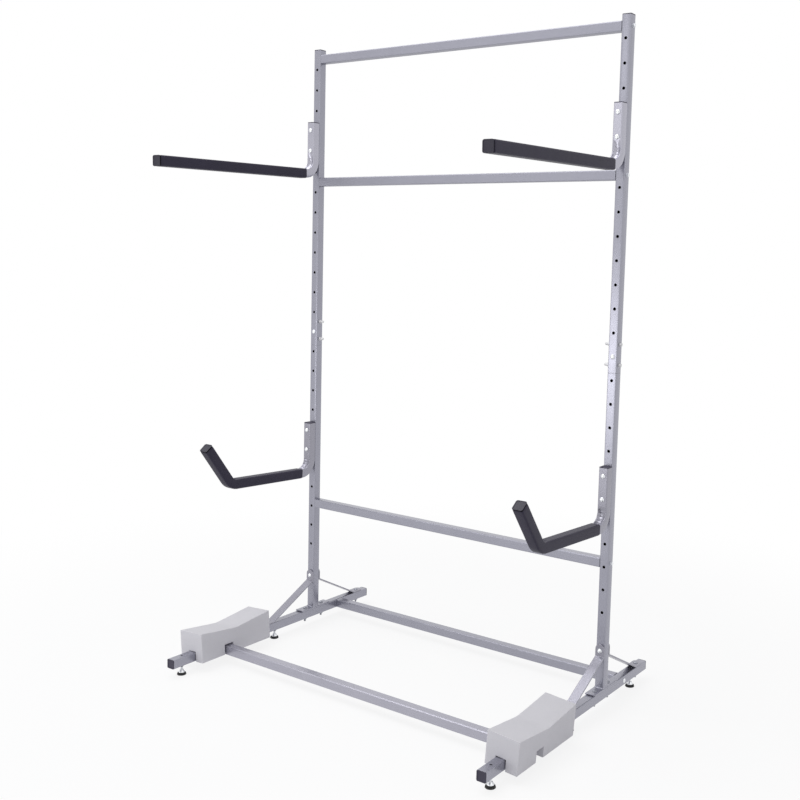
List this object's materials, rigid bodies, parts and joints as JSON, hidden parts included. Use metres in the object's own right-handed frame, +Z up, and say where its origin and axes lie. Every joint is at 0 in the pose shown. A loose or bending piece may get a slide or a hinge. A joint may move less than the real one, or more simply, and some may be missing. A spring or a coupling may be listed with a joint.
{
  "type": "kayak stand",
  "caption": "Freestanding rack: square-tube posts on long leveled feet, joined by crossbars, with sleeved arms and foam cradle blocks that hold boats side on.",
  "frame": {"origin": "on the floor, under the middle of the overall box", "axes": "+Z up, -Y the side that the boats load from, +X to the right seen from there"},
  "size_m": [1.4098, 1.0811, 2.23],
  "materials": {
    "powder_coat": "silver-grey satin powder coat on steel tube",
    "cap_plastic": "matt dark plastic",
    "sleeve_foam": "charcoal closed-cell sleeve, soft sheen",
    "block_foam": "light grey closed-cell foam, cut faces",
    "zinc": "bright zinc plate",
    "leveler_pad": "matt black"
  },
  "bodies": {
    "frame": {"top_crossbar": "powder_coat", "upper_crossbar": "powder_coat", "lower_crossbar": "powder_coat", "base_front_crossbar": "powder_coat", "base_rear_crossbar": "powder_coat", "left_post_lower": "powder_coat", "left_post_upper": "powder_coat", "left_foot_tube": "powder_coat", "left_front_brace": "powder_coat", "left_rear_brace": "powder_coat", "left_post_cap": "cap_plastic", "left_foot_cap_front": "cap_plastic", "left_foot_cap_rear": "cap_plastic", "left_upper_arm": "powder_coat", "left_upper_arm_sleeve": "sleeve_foam", "left_upper_arm_tip_cap": "cap_plastic", "left_upper_arm_plug": "cap_plastic", "left_upper_arm_bolt_1": "zinc", "left_upper_arm_bolt_2": "zinc", "left_lower_arm": "powder_coat", "left_lower_arm_sleeve": "sleeve_foam", "left_lower_arm_tip_cap": "cap_plastic", "left_lower_arm_plug": "cap_plastic", "left_lower_arm_bolt_1": "zinc", "left_lower_arm_bolt_2": "zinc", "right_post_lower": "powder_coat", "right_post_upper": "powder_coat", "right_foot_tube": "powder_coat", "right_front_brace": "powder_coat", "right_rear_brace": "powder_coat", "right_post_cap": "cap_plastic", "right_foot_cap_front": "cap_plastic", "right_foot_cap_rear": "cap_plastic", "right_upper_arm": "powder_coat", "right_upper_arm_sleeve": "sleeve_foam", "right_upper_arm_tip_cap": "cap_plastic", "right_upper_arm_plug": "cap_plastic", "right_upper_arm_bolt_1": "zinc", "right_upper_arm_bolt_2": "zinc", "right_lower_arm": "powder_coat", "right_lower_arm_sleeve": "sleeve_foam", "right_lower_arm_tip_cap": "cap_plastic", "right_lower_arm_plug": "cap_plastic", "right_lower_arm_bolt_1": "zinc", "right_lower_arm_bolt_2": "zinc"},
    "left_cradle": {"left_foam_block": "block_foam"},
    "left_front_pad": {"left_front_leveling_pad": "leveler_pad"},
    "left_front_stud": {"left_front_leveling_stud": "zinc"},
    "left_middle_pad": {"left_middle_leveling_pad": "leveler_pad"},
    "left_middle_stud": {"left_middle_leveling_stud": "zinc"},
    "left_rear_pad": {"left_rear_leveling_pad": "leveler_pad"},
    "left_rear_stud": {"left_rear_leveling_stud": "zinc"},
    "right_cradle": {"right_foam_block": "block_foam"},
    "right_front_pad": {"right_front_leveling_pad": "leveler_pad"},
    "right_front_stud": {"right_front_leveling_stud": "zinc"},
    "right_middle_pad": {"right_middle_leveling_pad": "leveler_pad"},
    "right_middle_stud": {"right_middle_leveling_stud": "zinc"},
    "right_rear_pad": {"right_rear_leveling_pad": "leveler_pad"},
    "right_rear_stud": {"right_rear_leveling_stud": "zinc"}
  },
  "joints": [
    {"name": "left_cradle_lift", "type": "slide", "parent": "frame", "child": "left_cradle", "axis": [-0.075, 0, 0.9972], "range_m": [0, 0.12]},
    {"name": "left_front_level", "type": "slide", "parent": "frame", "child": "left_front_pad", "axis": [0, 0, -1], "range_m": [0, 0.015]},
    {"name": "left_front_turn", "type": "hinge", "parent": "left_front_pad", "child": "left_front_stud", "pos_m": [-0.6415, -0.43475, 0.03], "axis": [0, 0, -1], "range_deg": [0, 4321]},
    {"name": "left_middle_level", "type": "slide", "parent": "frame", "child": "left_middle_pad", "axis": [0, 0, -1], "range_m": [0, 0.015]},
    {"name": "left_middle_turn", "type": "hinge", "parent": "left_middle_pad", "child": "left_middle_stud", "pos_m": [-0.6415, 0.01355, 0.03], "axis": [0, 0, -1], "range_deg": [0, 4321]},
    {"name": "left_rear_level", "type": "slide", "parent": "frame", "child": "left_rear_pad", "axis": [0, 0, -1], "range_m": [0, 0.015]},
    {"name": "left_rear_turn", "type": "hinge", "parent": "left_rear_pad", "child": "left_rear_stud", "pos_m": [-0.6415, 0.44685, 0.03], "axis": [0, 0, -1], "range_deg": [0, 4321]},
    {"name": "right_cradle_lift", "type": "slide", "parent": "frame", "child": "right_cradle", "axis": [0.075, 0, 0.9972], "range_m": [0, 0.12]},
    {"name": "right_front_level", "type": "slide", "parent": "frame", "child": "right_front_pad", "axis": [0, 0, -1], "range_m": [0, 0.015]},
    {"name": "right_front_turn", "type": "hinge", "parent": "right_front_pad", "child": "right_front_stud", "pos_m": [0.6415, -0.43475, 0.03], "axis": [0, 0, -1], "range_deg": [0, 4321]},
    {"name": "right_middle_level", "type": "slide", "parent": "frame", "child": "right_middle_pad", "axis": [0, 0, -1], "range_m": [0, 0.015]},
    {"name": "right_middle_turn", "type": "hinge", "parent": "right_middle_pad", "child": "right_middle_stud", "pos_m": [0.6415, 0.01355, 0.03], "axis": [0, 0, -1], "range_deg": [0, 4321]},
    {"name": "right_rear_level", "type": "slide", "parent": "frame", "child": "right_rear_pad", "axis": [0, 0, -1], "range_m": [0, 0.015]},
    {"name": "right_rear_turn", "type": "hinge", "parent": "right_rear_pad", "child": "right_rear_stud", "pos_m": [0.6415, 0.44685, 0.03], "axis": [0, 0, -1], "range_deg": [0, 4321]}
  ],
  "couplings": [
    {"joint": "left_front_turn", "follows": "left_front_level", "rad_per_m": 5026.5},
    {"joint": "left_middle_turn", "follows": "left_middle_level", "rad_per_m": 5026.5},
    {"joint": "left_rear_turn", "follows": "left_rear_level", "rad_per_m": 5026.5},
    {"joint": "right_front_turn", "follows": "right_front_level", "rad_per_m": 5026.5},
    {"joint": "right_middle_turn", "follows": "right_middle_level", "rad_per_m": 5026.5},
    {"joint": "right_rear_turn", "follows": "right_rear_level", "rad_per_m": 5026.5}
  ]
}
